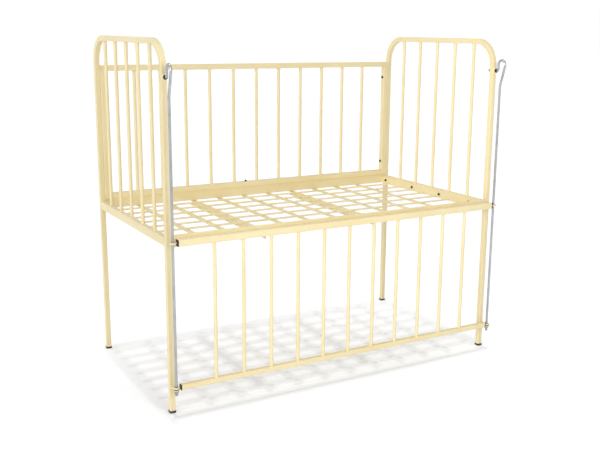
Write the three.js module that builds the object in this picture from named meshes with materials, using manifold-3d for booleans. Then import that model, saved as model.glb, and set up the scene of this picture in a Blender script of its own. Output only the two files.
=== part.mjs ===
// Hospital cot for a small child. Two bent-tube ends carry a fixed back side, a drop side that
// slides on a pair of guide rods, and a mattress base of crossed flat strips.
// Millimetres; X along the length, Y towards the back, Z up from the floor.
import * as THREE from "three";
import { mergeVertices } from "three/addons/utils/BufferGeometryUtils.js";
import Module from "manifold-3d";

const wasm = await Module();
wasm.setup();

// Overall size
const LENGTH = 1370; // over the outer faces of the two ends
const DEPTH = 720; // over the posts, front to back
const HEIGHT = 1245; // floor to the top of the hoops

// Tubes, bars and rods
const POST = 19; // square tube of the hoops
const SIDE_TUBE = 22; // square tube of the back side and of the drop side's top rail
const LOW_TUBE = 19; // square tube of the drop side's lower rail
const STILE_WIDTH = 24;
const TUBE_WALL = 1.5;
const TUBE_CORNER = 2.5;
const SPINDLE = 12.7; // round tube of every upright bar
const SPINDLE_WALL = 1.2;
const ROD = 9.5; // guide rod

// Ends
const HOOP_RADIUS = 95; // bend of the hoop, on the middle line of the tube
const END_RAIL_TOP = 611;
const END_RAIL_HEIGHT = 32;
const BAR_COUNT = 5;
const BAR_MARGIN = 107.5; // post to the middle of the nearest bar
const FOOT_FLANGE = 8;
const FOOT_LIP = 1;
const FOOT_STEM = 24;

// Mattress base
const BASE_SIDE_TOP = 618; // the back side's lower rail sits on this edge
const BASE_END_TOP = 606;
const BASE_BAR = 4; // thickness of the flat bars on edge round the base
const BASE_FLOOR = 574; // underside of the end bars and of the strips across
const STRIP = 3; // thickness of the flat strips
const CROSS_STRIP_WIDTH = 23;
const CROSS_STRIP_COUNT = 10;
const CROSS_STRIP_MARGIN = 140; // base end to the middle of the nearest strip
const LONG_STRIP_WIDTH = 22;
const LONG_STRIP_COUNT = 8;
const LONG_STRIP_MARGIN = 58.5;
const BEARER_STRIPS = [2, 6]; // cross strips with a bearer beside them
const BEARER_ANGLE = 4; // thickness of the bearers' angle iron
const BEARER_FLANGE = 30;
const BEARER_DROP = 20;
const BEARER_SET = 4; // bearer edge to the middle of its strip

// Back side
const BACK_TOP = 1134;
const SPINDLE_COUNT = 11;
const SPINDLE_MARGIN = 136; // post to the middle of the nearest spindle

// Drop side, shown lowered
const DROP_TOP = 611;
const DROP_HEIGHT = 516;
const DROP_STANDOFF = 34.5; // post face to the middle of the guide rod
const PLUG_CAP = 3;
const PLUG_STEM = 14;
const EYE_BAR = 6; // round bar of the ring that rides on the rod, and of its shank
const ANCHOR = 4; // bar across the inside of the rail that holds the shank

// Guide rods and their fixings
const BOLT_BELOW_TOP = 119; // hoop top to the hollow bolt that holds the hook
const HOOK_RADIUS = 18.5;
const HOOK_DROP = 22; // from the hook's bend down to its turned-in end
const HOOK_STANDOFF = 20; // post face to the middle of the short leg
const HOOK_TURN = 6; // bend radius of the end that turns in to the post
const HOOK_TAIL = 8; // turned-in end beyond the back face of the post
const KINK_ANGLE = THREE.MathUtils.degToRad(16);
const KINK_RADIUS = 25;
const BOSS = 7; // sleeve on the post that keeps the bolt's collar off it
const BOSS_WALL = 1.5;
const BOLT_WALL = 1.5; // of the hollow bolt, round the turned-in end
const BOLT_HEAD = 16; // across the corners
const BOLT_HEAD_DEPTH = 6.5;
const BOLT_NUT_DEPTH = 7;
const BOLT_TAIL = 15; // closed end of the bolt beyond the back face of the post
const BRACKET_WIDTH = 16;
const BRACKET_RIM = 5.75; // metal round the rod's hole
const ROD_NUT = 17; // across the corners
const ROD_NUT_DEPTH = 8;
const ROD_TAIL = 11; // rod end below the nut

// Clearances
const REST_GAP = 0.25; // lowered eye over its bracket
const FIT_GAP = 0.25; // shank or stem in its hole, each side
const ROD_GAP = 0.5; // rod in its bracket, each side
const EYE_PLAY = 1.25; // rod in an eye of the drop side, each side
const EYE_CLEAR = 2; // ring of an eye to the plug behind it
const WELD = 0.75; // how far welded parts run into each other

// Derived places
const endX = (LENGTH - POST) / 2;
const legY = (DEPTH - POST) / 2;
const insideX = LENGTH / 2 - POST;
const insideY = DEPTH / 2 - POST;
const postFront = -DEPTH / 2;
const rodY = postFront - DROP_STANDOFF;
const hookY = postFront - HOOK_STANDOFF;
const boltZ = HEIGHT - BOLT_BELOW_TOP;
const boltRadius = ROD / 2 + FIT_GAP + BOLT_WALL;
const postBack = postFront + POST;
const bossFront = postFront - BOSS;
const backY = (DEPTH - SIDE_TUBE) / 2;
const eyeRadius = ROD / 2 + EYE_PLAY + EYE_BAR / 2; // middle line of the ring
const dropHalf = endX - eyeRadius - EYE_BAR / 2 - EYE_CLEAR - PLUG_CAP;
const topEyeZ = DROP_TOP - SIDE_TUBE / 2;
const lowEyeZ = DROP_TOP - DROP_HEIGHT + LOW_TUBE / 2;
const bracketTop = lowEyeZ - EYE_BAR / 2 - REST_GAP;
const bracketZ = bracketTop - EYE_BAR / 2;
const rodNutTop = bracketTop - EYE_BAR;
const rodTip = rodNutTop - ROD_NUT_DEPTH - ROD_TAIL;

const CREAM = { color: "#f3e2b0", roughness: 0.38, metalness: 0 };
const CHROME = { color: "#c9ccd0", roughness: 0.12, metalness: 1 };
const BLACK = { color: "#2b2526", roughness: 0.5, metalness: 0 };
const DARK_STEEL = { color: "#3d3a3a", roughness: 0.4, metalness: 0.9 };

const CORNER_STEPS = 2;
const ROUND_STEPS = 7;
const BEND_STEP = THREE.MathUtils.degToRad(11.25);

// A closed solid from a three.js geometry, turned to face outwards.
function solid(geometry) {
  const bare = geometry.index ? geometry.toNonIndexed() : geometry.clone();
  bare.deleteAttribute("normal");
  bare.deleteAttribute("uv");
  const merged = mergeVertices(bare, 1e-4);
  const triVerts = new Uint32Array(merged.index.array);
  const vertProperties = merged.attributes.position.array;
  const made = new wasm.Manifold(new wasm.Mesh({ numProp: 3, vertProperties, triVerts }));
  if (made.volume() > 0) return made;
  triVerts.reverse();
  return new wasm.Manifold(new wasm.Mesh({ numProp: 3, vertProperties, triVerts }));
}

function geometryOf(body) {
  const { vertProperties, triVerts } = body.getMesh();
  const geometry = new THREE.BufferGeometry();
  geometry.setAttribute("position", new THREE.BufferAttribute(new Float32Array(vertProperties), 3));
  geometry.setIndex(new THREE.BufferAttribute(new Uint32Array(triVerts), 1));
  const flat = geometry.toNonIndexed();
  flat.computeVertexNormals();
  return flat;
}

function box(sx, sy, sz, x, y, z) {
  return solid(new THREE.BoxGeometry(sx, sy, sz).translate(x, y, z));
}

// A round or six-sided bar along X, Y or Z between two places on that axis.
function bar(axis, radius, from, to, x, y, z, sides = 3 * ROUND_STEPS) {
  const geometry = new THREE.CylinderGeometry(radius, radius, to - from, sides);
  if (axis === "x") geometry.rotateZ(-Math.PI / 2);
  if (axis === "z") geometry.rotateX(Math.PI / 2);
  const middle = (from + to) / 2;
  const shift = { x: [middle, y, z], y: [x, middle, z], z: [x, y, middle] }[axis];
  return solid(geometry.translate(...shift));
}

function rounded(width, height, corner) {
  const shape = new THREE.Shape();
  const w = width / 2;
  const h = height / 2;
  shape.moveTo(corner - w, -h);
  shape.lineTo(w - corner, -h);
  shape.absarc(w - corner, corner - h, corner, -Math.PI / 2, 0);
  shape.lineTo(w, h - corner);
  shape.absarc(w - corner, h - corner, corner, 0, Math.PI / 2);
  shape.lineTo(corner - w, h);
  shape.absarc(corner - w, h - corner, corner, Math.PI / 2, Math.PI);
  shape.lineTo(-w, corner - h);
  shape.absarc(corner - w, corner - h, corner, Math.PI, 1.5 * Math.PI);
  return shape;
}

function hollow(width, height) {
  const shape = rounded(width, height, TUBE_CORNER);
  const w = width / 2 - TUBE_WALL;
  const h = height / 2 - TUBE_WALL;
  const corners = [[-w, -h], [-w, h], [w, h], [w, -h]];
  shape.holes.push(new THREE.Path(corners.map(([x, y]) => new THREE.Vector2(x, y))));
  return shape;
}

function ring(outer, inner) {
  const shape = new THREE.Shape();
  shape.absarc(0, 0, outer, 0, 2 * Math.PI);
  const hole = new THREE.Path();
  hole.absarc(0, 0, inner, 0, 2 * Math.PI, true);
  shape.holes.push(hole);
  return shape;
}

function angleSection(flange, upright) {
  const shape = new THREE.Shape();
  shape.moveTo(0, 0);
  shape.lineTo(flange, 0);
  shape.lineTo(flange, BEARER_ANGLE);
  shape.lineTo(BEARER_ANGLE, BEARER_ANGLE);
  shape.lineTo(BEARER_ANGLE, upright);
  shape.lineTo(0, upright);
  shape.closePath();
  return shape;
}

function extruded(shape, depth, curveSegments = CORNER_STEPS) {
  return new THREE.ExtrudeGeometry(shape, { depth, bevelEnabled: false, curveSegments });
}

// A section run along X about the middle, its own x to +Y and its own y to +Z.
function alongX(shape, length) {
  const turn = new THREE.Matrix4().set(0, 0, 1, -length / 2, 1, 0, 0, 0, 0, 1, 0, 0, 0, 0, 0, 1);
  return extruded(shape, length).applyMatrix4(turn);
}

// A section run along Y about the middle, its own x to +X and its own y to +Z.
function alongY(shape, length) {
  const turn = new THREE.Matrix4().set(1, 0, 0, 0, 0, 0, -1, length / 2, 0, 1, 0, 0, 0, 0, 0, 1);
  return extruded(shape, length).applyMatrix4(turn);
}

// The middle line of a bent tube or rod in the YZ plane, walked from one end by straight runs
// and bends; a positive turn goes from +Y towards +Z.
class BentPath extends THREE.Curve {
  constructor(y, z, heading, moves) {
    super();
    this.points = [];
    this.tangents = [];
    this.mark(y, z, heading);
    for (const { run = 0, turn = 0, radius = 0 } of moves) {
      y += run * Math.cos(heading);
      z += run * Math.sin(heading);
      if (run) this.mark(y, z, heading);
      const steps = Math.ceil(Math.abs(turn) / BEND_STEP);
      const side = Math.sign(turn);
      for (let i = 0; i < steps; i++) {
        const next = heading + turn / steps;
        y += side * radius * (Math.sin(next) - Math.sin(heading));
        z += side * radius * (Math.cos(heading) - Math.cos(next));
        heading = next;
        this.mark(y, z, heading);
      }
    }
  }

  mark(y, z, heading) {
    this.points.push(new THREE.Vector3(0, y, z));
    this.tangents.push(new THREE.Vector3(0, Math.cos(heading), Math.sin(heading)));
  }

  getPoint(t) {
    return this.points[Math.round(t * (this.points.length - 1))].clone();
  }

  getTangent(t) {
    return this.tangents[Math.round(t * (this.points.length - 1))].clone();
  }

  getUtoTmapping(u) {
    return u;
  }
}

function swept(shape, path, curveSegments) {
  const steps = path.points.length - 1;
  return new THREE.ExtrudeGeometry(shape, { steps, extrudePath: path, curveSegments });
}

function piece(group, name, geometry, finish, x = 0, y = 0, z = 0) {
  const mesh = new THREE.Mesh(geometry, new THREE.MeshStandardMaterial(finish));
  mesh.name = name;
  mesh.position.set(x, y, z);
  group.add(mesh);
  return mesh;
}

function spread(count, reach) {
  const places = [];
  for (let i = 0; i < count; i++) places.push(-reach + (2 * reach * i) / (count - 1));
  return places;
}

function spindle(length) {
  return extruded(ring(SPINDLE / 2, SPINDLE / 2 - SPINDLE_WALL), length, ROUND_STEPS);
}

// Hoop of one end, with the eye bracket for the guide rod, and the boss and hole for its bolt in the
// front post.
function hoop() {
  const rise = HEIGHT - POST / 2 - HOOP_RADIUS - FOOT_FLANGE;
  const bend = { turn: -Math.PI / 2, radius: HOOP_RADIUS };
  const across = { run: 2 * (legY - HOOP_RADIUS) };
  const moves = [{ run: rise }, bend, across, bend, { run: rise }];
  const path = new BentPath(-legY, FOOT_FLANGE, Math.PI / 2, moves);
  const arm = box(BRACKET_WIDTH, DROP_STANDOFF + WELD, EYE_BAR, 0, (rodY + postFront + WELD) / 2, bracketZ);
  const hole = ROD / 2 + ROD_GAP;
  const eye = bar("z", hole + BRACKET_RIM, rodNutTop, bracketTop, 0, rodY, 0);
  const rodHole = bar("z", hole, rodNutTop - 1, bracketTop + 1, 0, rodY, 0);
  const bracket = arm.add(eye).subtract(rodHole);
  const tube = solid(swept(hollow(POST, POST), path, CORNER_STEPS));
  const boss = bar("y", boltRadius + FIT_GAP + BOSS_WALL, bossFront, postFront + WELD, 0, 0, boltZ);
  const boltHole = bar("y", boltRadius + FIT_GAP, bossFront - 1, postBack + 1, 0, 0, boltZ);
  return geometryOf(tube.add(bracket).add(boss).subtract(boltHole));
}

// Plastic foot: a rounded flange under the post and a stem inside it.
function foot() {
  const lip = { bevelSize: FOOT_LIP, bevelThickness: 2, bevelSegments: 2 };
  const depth = FOOT_FLANGE - 2 * lip.bevelThickness;
  const shape = rounded(POST, POST, TUBE_CORNER);
  const flange = new THREE.ExtrudeGeometry(shape, { depth, curveSegments: CORNER_STEPS, ...lip });
  const stemSize = POST - 2 * (TUBE_WALL + FIT_GAP);
  const reach = FOOT_STEM + WELD;
  const stem = box(stemSize, stemSize, reach, 0, 0, FOOT_FLANGE - WELD + reach / 2);
  return geometryOf(solid(flange.translate(0, 0, lip.bevelThickness)).add(stem));
}

// Chrome guide rod: straight run, kink, U-hook and an end turned in through the post.
function guideRod() {
  const slantEnd = hookY - HOOK_RADIUS * (1 + Math.cos(KINK_ANGLE));
  const slant = (rodY - KINK_RADIUS * (1 - Math.cos(KINK_ANGLE)) - slantEnd) / Math.sin(KINK_ANGLE);
  const hookRise = (KINK_RADIUS + HOOK_RADIUS) * Math.sin(KINK_ANGLE) + slant * Math.cos(KINK_ANGLE);
  const kinkZ = boltZ + HOOK_DROP - hookRise;
  const moves = [
    { run: kinkZ - rodTip },
    { turn: KINK_ANGLE, radius: KINK_RADIUS },
    { run: slant },
    { turn: -(Math.PI + KINK_ANGLE), radius: HOOK_RADIUS },
    { run: HOOK_DROP - HOOK_TURN },
    { turn: Math.PI / 2, radius: HOOK_TURN },
    { run: postBack + HOOK_TAIL - hookY - HOOK_TURN },
  ];
  const path = new BentPath(rodY, rodTip, Math.PI / 2, moves);
  const round = new THREE.Shape().absarc(0, 0, ROD / 2, 0, 2 * Math.PI);
  return geometryOf(solid(swept(round, path, ROUND_STEPS)));
}

// Hollow bolt that takes the rod's turned-in end: collar on the boss of the post, barrel through
// the post, nut and closed end behind it.
function rodBolt() {
  const front = bossFront - BOLT_HEAD_DEPTH;
  const collar = bar("y", BOLT_HEAD / 2, front, bossFront, 0, 0, boltZ, 6);
  const barrel = bar("y", boltRadius, bossFront - 1, postBack + BOLT_TAIL, 0, 0, boltZ);
  const nut = bar("y", BOLT_HEAD / 2, postBack, postBack + BOLT_NUT_DEPTH, 0, 0, boltZ, 6);
  const bore = bar("y", ROD / 2 + FIT_GAP, front - 1, postBack + HOOK_TAIL + FIT_GAP, 0, 0, boltZ);
  return geometryOf(collar.add(barrel).add(nut).subtract(bore));
}

function rodNut() {
  const nut = bar("z", ROD_NUT / 2, rodNutTop - ROD_NUT_DEPTH, rodNutTop, 0, rodY, 0, 6);
  const hole = bar("z", ROD / 2 + FIT_GAP, rodNutTop - ROD_NUT_DEPTH - 1, rodNutTop + 1, 0, rodY, 0);
  return geometryOf(nut.subtract(hole));
}

// Rail of the drop side with an eye at each end: a ring on a shank that runs out of the tube
// from an anchor bar welded between its walls.
function dropRail(size) {
  let rail = solid(alongX(hollow(size, size), 2 * dropHalf));
  const anchorX = dropHalf - PLUG_STEM - 1 - ANCHOR / 2;
  const anchorSize = size - 2 * TUBE_WALL + WELD;
  for (const side of [-1, 1]) {
    const anchor = box(ANCHOR, anchorSize, EYE_BAR, side * anchorX, 0, 0);
    const span = [side * anchorX, side * (endX - eyeRadius)].sort((a, b) => a - b);
    const shank = bar("x", EYE_BAR / 2, span[0], span[1], 0, 0, 0, 2 * ROUND_STEPS);
    const torus = new THREE.TorusGeometry(eyeRadius, EYE_BAR / 2, 8, 20).translate(side * endX, 0, 0);
    rail = rail.add(anchor).add(shank).add(solid(torus));
  }
  return geometryOf(rail);
}

// Plastic plug of a drop rail's end, bored for the shank of the eye; its cap faces +X.
function plug(size) {
  const stemSize = size - 2 * (TUBE_WALL + FIT_GAP);
  const cap = solid(extruded(rounded(size, size, TUBE_CORNER), PLUG_CAP).rotateY(Math.PI / 2));
  const stem = box(PLUG_STEM + WELD, stemSize, stemSize, (WELD - PLUG_STEM) / 2, 0, 0);
  const bore = bar("x", EYE_BAR / 2 + FIT_GAP, -PLUG_STEM - 1, PLUG_CAP + 1, 0, 0, 0, 2 * ROUND_STEPS);
  return geometryOf(cap.add(stem).subtract(bore));
}

const crossTop = BASE_FLOOR + STRIP;
const crossReach = insideX - BASE_BAR - CROSS_STRIP_MARGIN;
const longReach = DEPTH / 2 - BASE_BAR - LONG_STRIP_MARGIN;

// Welded frame of flat bars on edge: high ones along the sides, lower ones across the ends.
function baseFrame() {
  const sideHeight = BASE_SIDE_TOP - crossTop;
  const endHeight = BASE_END_TOP - BASE_FLOOR;
  const sideZ = crossTop + sideHeight / 2;
  const endZ = BASE_FLOOR + endHeight / 2;
  const bars = [-1, 1].map((side) => {
    const along = box(2 * insideX, BASE_BAR, sideHeight, 0, (side * (DEPTH - BASE_BAR)) / 2, sideZ);
    const across = box(BASE_BAR, DEPTH, endHeight, side * (insideX - BASE_BAR / 2), 0, endZ);
    return along.add(across);
  });
  return geometryOf(bars[0].add(bars[1]));
}

// Flat strips welded where they cross; the lower ones meet the side bars from below, the upper
// ones end against the end bars.
function lattice() {
  const crossLength = DEPTH - BASE_BAR;
  const longLength = 2 * (insideX - BASE_BAR);
  let net = null;
  for (const x of spread(CROSS_STRIP_COUNT, crossReach)) {
    const strip = box(CROSS_STRIP_WIDTH, crossLength, STRIP, x, 0, crossTop - STRIP / 2);
    net = net ? net.add(strip) : strip;
  }
  for (const y of spread(LONG_STRIP_COUNT, longReach)) {
    net = net.add(box(longLength, LONG_STRIP_WIDTH, STRIP, 0, y, crossTop + STRIP / 2));
  }
  return geometryOf(net);
}

// Angle bearer under the strips, its upright leg hanging down on the +X side.
function bearer() {
  const section = angleSection(BEARER_FLANGE, BEARER_DROP);
  return alongY(section, 2 * longReach + LONG_STRIP_WIDTH).rotateY(Math.PI);
}

const cot = new THREE.Group();
cot.name = "hospital_cot";

function addEnd(name, side) {
  const end = new THREE.Group();
  end.name = name + "_end";
  end.position.x = side * endX;
  cot.add(end);
  piece(end, name + "_hoop", hoop(), CREAM);
  const railZ = END_RAIL_TOP - END_RAIL_HEIGHT / 2;
  piece(end, name + "_end_rail", alongY(hollow(POST, END_RAIL_HEIGHT), 2 * insideY), CREAM, 0, 0, railZ);
  const length = HEIGHT - POST - END_RAIL_TOP;
  spread(BAR_COUNT, insideY - BAR_MARGIN).forEach((y, i) => {
    piece(end, `${name}_end_bar_${i + 1}`, spindle(length), CREAM, 0, y, END_RAIL_TOP);
  });
  piece(end, name + "_front_foot", foot(), BLACK, 0, -legY, 0);
  piece(end, name + "_back_foot", foot(), BLACK, 0, legY, 0);
  piece(end, name + "_guide_rod", guideRod(), CHROME);
  piece(end, name + "_rod_bolt", rodBolt(), DARK_STEEL);
  piece(end, name + "_rod_nut", rodNut(), CHROME);
}

addEnd("left", -1);
addEnd("right", 1);

const base = new THREE.Group();
base.name = "mattress_base";
cot.add(base);
piece(base, "base_frame", baseFrame(), CREAM);
piece(base, "base_lattice", lattice(), CREAM);
const stripPlaces = spread(CROSS_STRIP_COUNT, crossReach);
BEARER_STRIPS.forEach((strip, i) => {
  piece(base, `base_bearer_${i + 1}`, bearer(), CREAM, stripPlaces[strip] - BEARER_SET, 0, BASE_FLOOR);
});

const back = new THREE.Group();
back.name = "back_side";
back.position.set(0, backY, BASE_SIDE_TOP);
cot.add(back);
const backHeight = BACK_TOP - BASE_SIDE_TOP;
const upright = backHeight - 2 * SIDE_TUBE;
const backRail = alongX(hollow(SIDE_TUBE, SIDE_TUBE), 2 * insideX);
const stile = extruded(hollow(STILE_WIDTH, SIDE_TUBE), upright);
piece(back, "back_low_rail", backRail, CREAM, 0, 0, SIDE_TUBE / 2);
piece(back, "back_top_rail", backRail.clone(), CREAM, 0, 0, backHeight - SIDE_TUBE / 2);
piece(back, "back_left_stile", stile, CREAM, STILE_WIDTH / 2 - insideX, 0, SIDE_TUBE);
piece(back, "back_right_stile", stile.clone(), CREAM, insideX - STILE_WIDTH / 2, 0, SIDE_TUBE);

const drop = new THREE.Group();
drop.name = "drop_side";
drop.position.y = rodY;
cot.add(drop);
piece(drop, "drop_top_rail", dropRail(SIDE_TUBE), CREAM, 0, 0, topEyeZ);
piece(drop, "drop_low_rail", dropRail(LOW_TUBE), CREAM, 0, 0, lowEyeZ);
for (const [name, size, z] of [["top", SIDE_TUBE, topEyeZ], ["low", LOW_TUBE, lowEyeZ]]) {
  const left = piece(drop, `left_${name}_plug`, plug(size), BLACK, -dropHalf, 0, z);
  left.rotation.z = Math.PI;
  piece(drop, `right_${name}_plug`, plug(size), BLACK, dropHalf, 0, z);
}

const dropSpindle = DROP_HEIGHT - SIDE_TUBE - LOW_TUBE;
spread(SPINDLE_COUNT, insideX - SPINDLE_MARGIN).forEach((x, i) => {
  piece(back, `back_spindle_${i + 1}`, spindle(upright), CREAM, x, 0, SIDE_TUBE);
  piece(drop, `drop_spindle_${i + 1}`, spindle(dropSpindle), CREAM, x, 0, lowEyeZ + LOW_TUBE / 2);
});

// The middle of the overall depth, hooks to back feet, lies on Y = 0.
const reachFront = HOOK_STANDOFF + 2 * HOOK_RADIUS + ROD / 2;
cot.position.y = (reachFront - FOOT_LIP) / 2;

export default cot;
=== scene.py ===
"""Looks of a drop-side hospital cot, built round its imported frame: tubes, bars, rods, bolts,
weld beads and finishes, with a plain studio stage. Metres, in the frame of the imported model."""

import math

import bmesh
import bpy
from bpy.props import FloatProperty, FloatVectorProperty, IntProperty, PointerProperty
from mathutils import Matrix, Vector


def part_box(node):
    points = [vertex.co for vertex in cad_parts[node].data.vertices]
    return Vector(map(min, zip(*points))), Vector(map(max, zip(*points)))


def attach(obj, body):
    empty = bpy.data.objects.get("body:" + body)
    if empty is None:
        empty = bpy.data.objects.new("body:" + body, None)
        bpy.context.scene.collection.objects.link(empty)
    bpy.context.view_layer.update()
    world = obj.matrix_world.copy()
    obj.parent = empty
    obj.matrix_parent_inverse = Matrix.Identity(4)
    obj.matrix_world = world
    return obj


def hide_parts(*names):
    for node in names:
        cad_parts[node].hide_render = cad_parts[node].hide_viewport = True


bl_info = {
    "name": "Hospital Cot",
    "version": (1, 0, 0),
    "blender": (4, 5, 0),
    "location": "View3D > Sidebar > Cot",
    "description": "Builds the tubes, rods, fittings and finishes of a drop-side hospital cot",
    "category": "Object",
}

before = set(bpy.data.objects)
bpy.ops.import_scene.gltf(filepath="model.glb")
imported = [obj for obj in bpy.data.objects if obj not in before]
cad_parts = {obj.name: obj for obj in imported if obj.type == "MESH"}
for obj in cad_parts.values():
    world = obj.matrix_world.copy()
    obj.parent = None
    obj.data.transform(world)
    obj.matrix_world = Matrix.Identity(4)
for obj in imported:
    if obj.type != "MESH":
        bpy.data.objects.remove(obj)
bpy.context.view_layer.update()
FRAME_BODY = "cot_frame"
DROP_BODY = "drop_side"
SIDES = (("left", -1), ("right", 1))
POST_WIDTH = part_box("left_end_rail")[1].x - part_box("left_end_rail")[0].x
TURN = {
    "+x": Matrix.Rotation(math.pi / 2, 4, "Y"),
    "-x": Matrix.Rotation(-math.pi / 2, 4, "Y"),
    "+y": Matrix.Rotation(-math.pi / 2, 4, "X"),
    "+z": Matrix.Identity(4),
    "-z": Matrix.Rotation(math.pi, 4, "X"),
}

# Softened edges of the pieces, in metres.
HEX_EDGE = 0.0007
STRIP_EDGE = 0.0007
SLEEVE_EDGE = 0.0007
BAR_EDGE = 0.0008
BUFFER_EDGE = 0.0008
PLUG_EDGE = 0.0009
FOOT_EDGE = 0.0011
PLATE_EDGE = 0.0012
WASHER_EDGE = 0.0004

# Welds: lumps in a bead, beads thinner or fuller than the usual, and spot welds.
LUMP_LENGTH = 0.003
LUMP_SWELL = 0.16
THIN_BEAD = 0.7
FULL_BEAD = 1.1
SPOT_RADIUS = 0.0042
SPOT_FLATNESS = 0.12

# Stage: reach of the floor, its gap under the feet, the camera's sensor in mm and its reach.
FLOOR_REACH = 40
FLOOR_GAP = 0.0004
SENSOR_WIDTH = 36
CAMERA_REACH = 200


def number(name, description, default):
    return FloatProperty(name=name, description=description, default=default)


def count(name, description, default):
    return IntProperty(name=name, description=description, default=default, min=2)


def length(name, description, default):
    return FloatProperty(name=name, description=description, default=default, unit="LENGTH", precision=5)


def degrees(name, description, default):
    return FloatProperty(name=name, description=description, default=math.radians(default), subtype="ANGLE")


def point(name, description, default):
    return FloatVectorProperty(name=name, description=description, default=default, subtype="XYZ")


def colour(name, description, default):
    return FloatVectorProperty(
        name=name, description=description, default=default, subtype="COLOR", size=3, min=0, max=1
    )


class CotSizes(bpy.types.PropertyGroup):
    """Sizes of the pieces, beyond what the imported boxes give."""

    post: length("Post", "Width of the hoops' square tube", POST_WIDTH)
    corner: length("Tube corner", "Corner radius of the square tubes", 0.0025)
    hoop_radius: length("Hoop bend", "Bend of the hoop on its middle line", 0.095)
    bead: length("Weld bead", "Radius of the fillet welds", 0.0016)
    flare: length("Bar weld", "How far the weld spreads round a bar's end", 0.0018)
    round_steps: count("Round steps", "Sides of round bars", 24)
    base_bar: length("Base bar", "Thickness of the base's flat bars and angle iron", 0.004)
    end_drop: length("End drop", "How much lower the end bars' tops are than the side bars'", 0.012)
    strip: length("Strip", "Thickness of the base's flat strips", 0.003)
    strip_end: length("Strip end", "Thickness of a cross strip at its drawn-down ends", 0.0007)
    strip_taper: length("Strip taper", "Length over which a cross strip is drawn down", 0.014)
    cross_strip: length("Cross strip", "Width of the strips across", 0.023)
    long_strip: length("Long strip", "Width of the strips along", 0.022)
    cross_margin: length("Cross margin", "Base end to the first strip across", 0.140)
    long_margin: length("Long margin", "Base side to the first strip along", 0.0585)
    cross_count: count("Cross strips", "Strips across the base", 10)
    long_count: count("Long strips", "Strips along the base", 8)
    eye_bar: length("Eye bar", "Thickness of the eyes' round bar", 0.006)
    eye_gap: length("Eye gap", "Play of the rod in an eye, all round", 0.00125)
    plug_cap: length("Plug cap", "Thickness of the rail plugs' caps", 0.003)
    rod: length("Rod", "Diameter of the guide rods", 0.0095)
    rod_gap: length("Rod gap", "Play of the rod in its bracket", 0.0005)
    kink_angle: degrees("Kink", "Lean of the rod above its kink", 16)
    kink_radius: length("Kink bend", "Bend radius of the kink", 0.025)
    hook_radius: length("Hook bend", "Bend radius of the hook", 0.0185)
    hook_drop: length("Hook leg", "Length of the hook's short leg", 0.022)
    hook_gap: length("Hook gap", "Middle of the hook's short leg to the post", 0.020)
    hook_turn: length("Hook turn", "Bend radius of the hook's turned-in end", 0.006)
    hook_tail: length("Hook tail", "How far the turned-in end passes the post", 0.008)
    boss: length("Boss", "Length of the sleeve between a post and its bolt's collar", 0.007)
    boss_rim: length("Boss rim", "Radius of the sleeve", 0.00825)
    bolt_nut: length("Bolt nut", "Depth of the nut behind the post", 0.007)
    washer: length("Washer", "Thickness of the washers under bolts and nuts", 0.0012)
    buffer: length("Buffer", "Thickness of the buffers that the lowered eyes land on", 0.003)
    small_bolt: length("Small bolt", "Width of the joining bolts' heads over corners", 0.0095)
    end_bolts: FloatVectorProperty(
        name="End bolts", description="Places of the bolts in an end bar, from its middle",
        default=(-0.262, -0.068, 0.125, 0.328), size=4, unit="LENGTH",
    )
    end_bolt_drop: length("End bolt drop", "Tops of the end bars to their bolts", 0.015)
    stile_bolt_rise: length("Stile bolt rise", "Foot of a stile to its lower bolt", 0.041)
    stile_bolt_drop: length("Stile bolt drop", "Top of a stile to its upper bolt", 0.047)
    rail_bolt: length("Rail bolt", "Middle of the lower back rail to its bolt", -0.053)


class CotColours(bpy.types.PropertyGroup):
    """Colours of the finishes."""

    enamel: colour("Enamel", "Cream stoved enamel", (0.915, 0.790, 0.475))
    enamel_deep: colour("Deep enamel", "Enamel where it lies thicker", (0.875, 0.735, 0.418))
    primer: colour("Primer", "What shows at small chips", (0.42, 0.36, 0.24))
    chrome: colour("Chrome", "Plated rods", (0.45, 0.452, 0.455))
    chrome_dull: colour("Dull chrome", "Clouded plating", (0.33, 0.332, 0.335))
    plastic: colour("Plastic", "Black plugs and feet", (0.022, 0.019, 0.019))
    plastic_scuffed: colour("Scuffed plastic", "Rubbed spots of plugs and feet", (0.06, 0.052, 0.05))
    steel: colour("Dark steel", "Blackened bolts and nuts", (0.055, 0.050, 0.050))
    steel_worn: colour("Worn steel", "Edges of bolts and nuts", (0.16, 0.15, 0.145))


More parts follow.
